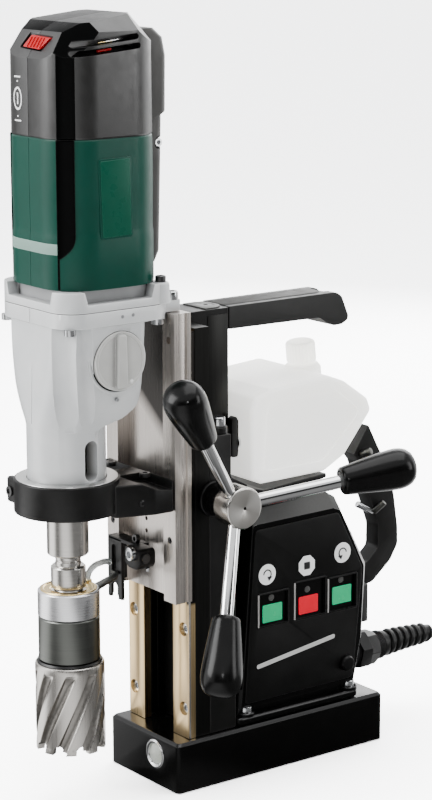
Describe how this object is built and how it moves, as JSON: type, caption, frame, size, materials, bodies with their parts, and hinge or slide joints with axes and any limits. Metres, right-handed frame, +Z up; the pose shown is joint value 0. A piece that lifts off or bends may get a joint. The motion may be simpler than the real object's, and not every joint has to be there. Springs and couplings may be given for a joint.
{
  "type": "magnetic drill press",
  "caption": "Portable drill press with an electromagnet base, rack-fed motor carriage, annular cutter, star feed lever, push-button housing and coolant canister.",
  "frame": {"origin": "centre of the magnet bottom face", "axes": "+Z up along the feed, -Y towards the spindle, +X towards the control panel and feed lever"},
  "size_m": [0.157, 0.3425, 0.525],
  "materials": {
    "black_paint": "gloss black enamel with a faint orange peel",
    "black_plastic": "fine grained moulding, satin",
    "green_shell": "satin moulded dark green",
    "cast_grey": "light grey painted casting, satin",
    "ground_steel": "ground steel, vertical grain",
    "brass": "planed brass, satin",
    "dark_steel": "dark phosphated steel",
    "chrome": "bright chrome plate",
    "gloss_black": "polished black phenolic",
    "tank_white": "milky translucent polyethylene",
    "red": "red moulding",
    "button_green": "green push cap",
    "button_red": "red push cap",
    "copper": "enamelled copper winding",
    "resin": "potting resin",
    "lens": "clear indicator lens",
    "rubber": "black rubber",
    "pcb": "circuit board",
    "aluminium": "turned aluminium",
    "cutter_steel": "ground tool steel",
    "clear_hose": "clear flexible hose",
    "iron": "machined steel"
  },
  "bodies": {
    "base": {"button_frame": "rubber", "cable_gland": "rubber", "carry_handle": "black_plastic", "circuit_board": "pcb", "coil_potting": "resin", "column_frame": "black_plastic", "control_housing": "black_paint", "control_panel": "black_paint", "coolant_tank": "tank_white", "feed_bush": "brass", "gib_strip_left": "brass", "gib_strip_right": "brass", "guide_rail_left": "dark_steel", "guide_rail_right": "dark_steel", "indicator_bezel": "chrome", "indicator_lens": "lens", "kink_guard": "rubber", "magnet_base": "black_paint", "magnet_coil": "copper", "mains_cable": "rubber", "rear_bow": "black_plastic", "switch_body": "black_plastic", "tank_cradle": "black_plastic", "top_plate": "cast_grey"},
    "carriage": {"slide_plate": "ground_steel", "slide_keeper": "dark_steel", "gear_rack": "iron", "motor_holder": "black_plastic", "gearbox_housing": "cast_grey", "motor_flange": "cast_grey", "motor_housing": "green_shell", "motor_cap": "black_plastic", "rear_spine": "black_plastic", "stator": "iron", "coolant_ring": "aluminium", "coolant_bracket": "black_plastic", "coolant_hose": "clear_hose"},
    "spindle_unit": {"spindle": "ground_steel", "arbor": "ground_steel", "tool_holder": "dark_steel", "annular_cutter": "cutter_steel", "pilot_pin": "ground_steel", "spindle_gear": "iron"},
    "motor_armature": {"armature": "iron"},
    "selector_dial": {"gear_selector": "cast_grey"},
    "speed_switch": {"motor_switch": "red"},
    "feed_lever": {"pinion_shaft": "iron", "feed_hub": "ground_steel", "feed_rod_1": "chrome", "feed_rod_2": "chrome", "feed_rod_3": "chrome", "feed_knob_1": "gloss_black", "feed_knob_2": "gloss_black", "feed_knob_3": "gloss_black"},
    "green_button_right": {"button_right": "button_green"},
    "red_stop_button": {"button_stop": "button_red"},
    "green_button_left": {"button_left": "button_green"},
    "rocker": {"magnet_rocker": "red"},
    "filler_cap": {"tank_cap": "tank_white"}
  },
  "joints": [
    {"name": "carriage_slide", "type": "slide", "parent": "base", "child": "carriage", "axis": [0, 0, 1], "range_m": [-0.097, 0.055]},
    {"name": "feed_turn", "type": "hinge", "parent": "base", "child": "feed_lever", "pos_m": [0.04, -0.056, 0.201], "axis": [1, 0, 0], "range_deg": [-352, 620]},
    {"name": "spindle_spin", "type": "hinge", "parent": "carriage", "child": "spindle_unit", "pos_m": [0, -0.1495, 0.2], "axis": [0, 0, 1], "continuous": true},
    {"name": "armature_spin", "type": "hinge", "parent": "carriage", "child": "motor_armature", "pos_m": [0, -0.134, 0.4], "axis": [0, 0, 1], "continuous": true},
    {"name": "gear_select", "type": "hinge", "parent": "carriage", "child": "selector_dial", "pos_m": [0.0384, -0.134, 0.3048], "axis": [1, 0, 0], "range_deg": [0, 90]},
    {"name": "switch_slide", "type": "slide", "parent": "carriage", "child": "speed_switch", "axis": [1, 0, 0], "range_m": [-0.004, 0]},
    {"name": "right_button_push", "type": "slide", "parent": "base", "child": "green_button_right", "axis": [-1, 0, 0], "range_m": [0, 0.0025]},
    {"name": "stop_button_push", "type": "slide", "parent": "base", "child": "red_stop_button", "axis": [-1, 0, 0], "range_m": [0, 0.0025]},
    {"name": "left_button_push", "type": "slide", "parent": "base", "child": "green_button_left", "axis": [-1, 0, 0], "range_m": [0, 0.0025]},
    {"name": "magnet_rock", "type": "hinge", "parent": "base", "child": "rocker", "pos_m": [0.0185, 0.0895, 0.1], "axis": [1, 0, 0], "range_deg": [-8, 8]},
    {"name": "cap_unscrew", "type": "hinge", "parent": "base", "child": "filler_cap", "pos_m": [-0.004, 0.051, 0.2685], "axis": [0, -0.1045, 0.9945], "range_deg": [0, 360]}
  ],
  "couplings": [
    {"joint": "feed_turn", "follows": "carriage_slide", "rad_per_m": -111.11},
    {"joint": "armature_spin", "follows": "spindle_spin", "ratio": -2.55}
  ]
}
